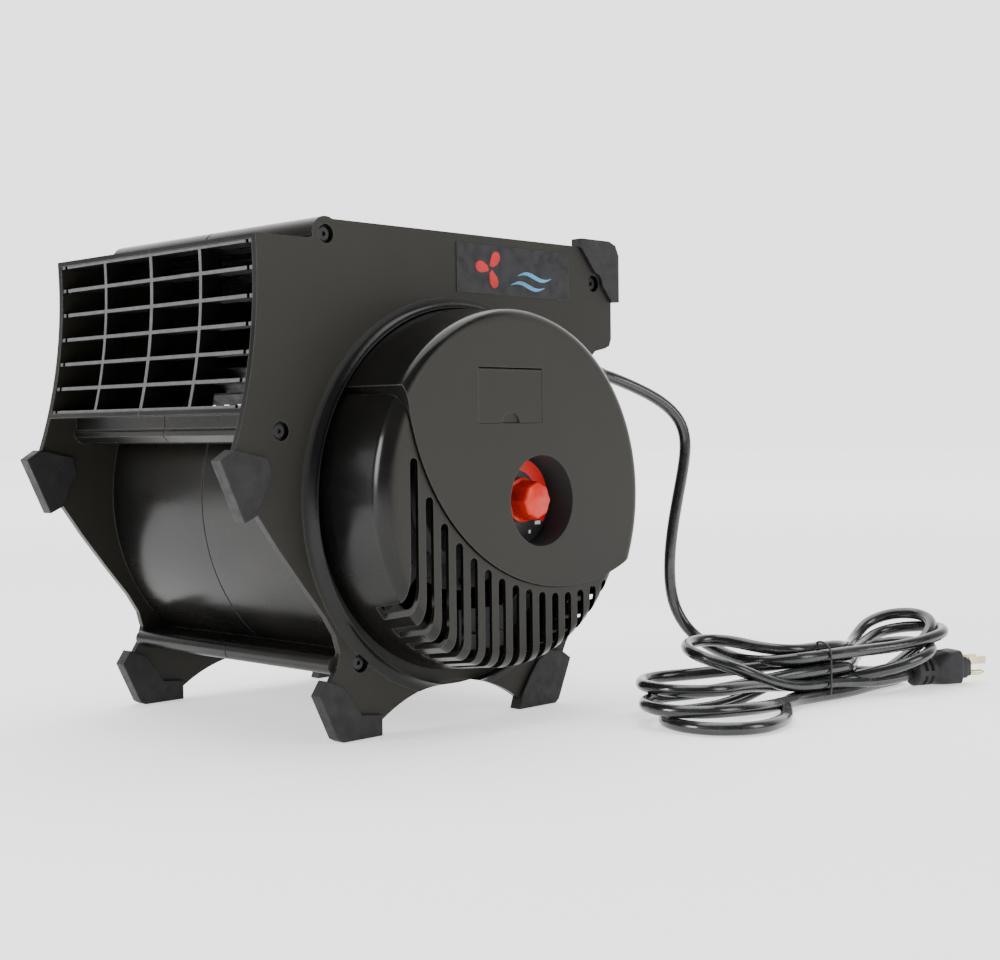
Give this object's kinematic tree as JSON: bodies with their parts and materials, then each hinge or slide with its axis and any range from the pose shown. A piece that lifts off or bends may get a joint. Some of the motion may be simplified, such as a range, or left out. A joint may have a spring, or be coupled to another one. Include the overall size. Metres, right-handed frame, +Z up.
{
  "type": "air mover",
  "caption": "Portable blower with a drum-shaped scroll between two side plates, a barred front outlet, rubber corner caps, a louvred motor cover with a recessed speed knob, and a power cord.",
  "frame": {"origin": "centre of the footprint of the machine's bounding box on the floor, without the cord", "axes": "+Z up, -Y the way the outlet blows, +X the side with the knob, along the fan axis"},
  "size_m": [0.475, 0.6342, 0.368],
  "materials": {
    "shell": "fine textured, dark olive black",
    "cover": "satin textured, dark olive grey",
    "rubber": "matt dark grey",
    "steel": "plain steel",
    "zinc": "zinc plated",
    "dial": "printed red and black",
    "knob": "gloss red",
    "switch": "matt",
    "brass": "bright",
    "badge": "printed label film",
    "motor_shell": "grey paint",
    "copper": "lacquered wire",
    "wheel": "satin black",
    "cord": "gloss black vinyl"
  },
  "bodies": {
    "housing": {"right_housing": "shell", "left_housing": "shell", "right_outlet_bars": "shell", "left_outlet_bars": "shell", "front_feet": "rubber", "lower_front_feet": "rubber", "lower_rear_feet": "rubber", "top_rear_feet": "rubber", "cross_bolts": "steel", "bolt_nuts": "zinc", "smooth_cover": "cover", "louvred_cover": "cover", "dial_plate": "dial", "switch_body": "switch", "switch_nut": "zinc", "switch_terminals": "brass", "left_intake_cover": "cover", "badge_plate": "badge", "motor_mount": "zinc", "mount_screws": "steel", "motor_front_shell": "motor_shell", "motor_rear_shell": "motor_shell", "motor_core": "steel", "motor_windings": "copper", "motor_bearings": "zinc", "motor_screws": "steel", "run_capacitor": "motor_shell", "cord_gland": "cord", "power_cord": "cord", "cord_hank": "cord", "cord_tie": "cord", "plug_body": "cord", "plug_blades": "brass", "plug_ground_pin": "brass"},
    "fan": {"rotor_core": "steel", "motor_shaft": "zinc", "fan_wheel": "wheel", "wheel_set_screw": "steel"},
    "knob": {"speed_knob": "knob", "switch_shaft": "zinc"},
    "hatch": {"hatch_door": "cover"}
  },
  "joints": [
    {"name": "fan_spin", "type": "hinge", "parent": "housing", "child": "fan", "pos_m": [-0.023, 0.015, 0.167], "axis": [1, 0, 0], "continuous": true},
    {"name": "speed_knob_turn", "type": "hinge", "parent": "housing", "child": "knob", "pos_m": [0.152, 0.038, 0.164], "axis": [1, 0, 0], "range_deg": [-135, 0]},
    {"name": "hatch_open", "type": "hinge", "parent": "housing", "child": "hatch", "pos_m": [0.1646, 0.015, 0.2577], "axis": [0, -1, 0], "range_deg": [0, 100]}
  ]
}
